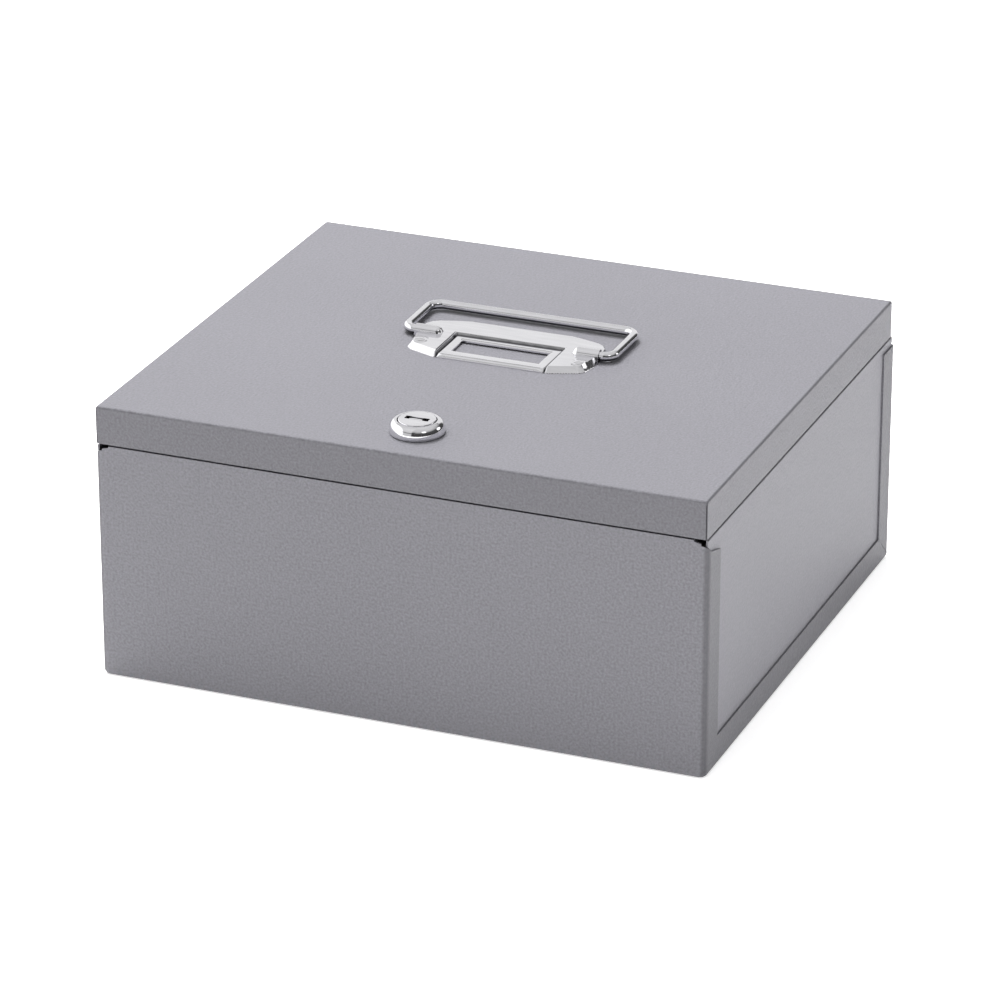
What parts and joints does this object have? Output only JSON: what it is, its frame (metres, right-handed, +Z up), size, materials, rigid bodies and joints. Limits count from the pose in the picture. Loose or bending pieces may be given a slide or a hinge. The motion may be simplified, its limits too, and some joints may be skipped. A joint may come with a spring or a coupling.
{
  "type": "fireproof document box",
  "caption": "Low rectangular steel document box with insulated walls, a hinged lid with a cam lock, and a folding wire bail handle on a pressed label plate.",
  "frame": {"origin": "centre of the underside, on the surface that the box stands on", "axes": "+X to the right seen from the front, +Y to the rear (the hinge side), +Z up"},
  "size_m": [0.318, 0.283, 0.151],
  "materials": {
    "grey_paint": "fine pebbled grey powder coat",
    "liner_paint": "smooth grey paint",
    "chrome": "bright plating",
    "zinc": "zinc plated steel",
    "shutter_steel": "satin steel",
    "insulation": "matt off-white mineral board"
  },
  "bodies": {
    "base": {"outer_shell": "grey_paint", "left_side_panel": "grey_paint", "right_side_panel": "grey_paint", "inner_liner": "liner_paint", "board_bottom": "insulation", "board_front": "insulation", "board_rear": "insulation", "board_left": "insulation", "board_right": "insulation", "strike_plate": "zinc", "strike_rivets": "zinc", "hinge_leaf_lower": "zinc", "hinge_pin": "zinc"},
    "lid": {"lid_shell": "grey_paint", "lid_inner_pan": "liner_paint", "lid_insulation": "insulation", "hinge_leaf_upper": "zinc", "handle_plate": "chrome", "handle_rivets": "chrome", "lock_bezel": "chrome", "lock_cylinder": "zinc", "lock_washer": "zinc", "lock_nut": "zinc"},
    "plug": {"lock_plug": "chrome", "cam": "zinc", "cam_screw": "zinc"},
    "shutter": {"keyway_shutter": "shutter_steel"},
    "bail": {"bail": "chrome"}
  },
  "joints": [
    {"name": "lid_hinge", "type": "hinge", "parent": "base", "child": "lid", "pos_m": [0, 0.139, 0.12175], "axis": [-1, 0, 0], "range_deg": [0, 135]},
    {"name": "bail_hinge", "type": "hinge", "parent": "lid", "child": "bail", "pos_m": [0, 0.0036, 0.1472], "axis": [1, 0, 0], "range_deg": [0, 180]},
    {"name": "lock_turn", "type": "hinge", "parent": "lid", "child": "plug", "pos_m": [0, -0.1135, 0.144], "axis": [0, 0, -1], "range_deg": [0, 90]},
    {"name": "shutter_slide", "type": "slide", "parent": "plug", "child": "shutter", "axis": [0, 0, -1], "range_m": [0, 0.0022], "stiffness_N_per_m": 60, "springref_m": -0.002}
  ]
}
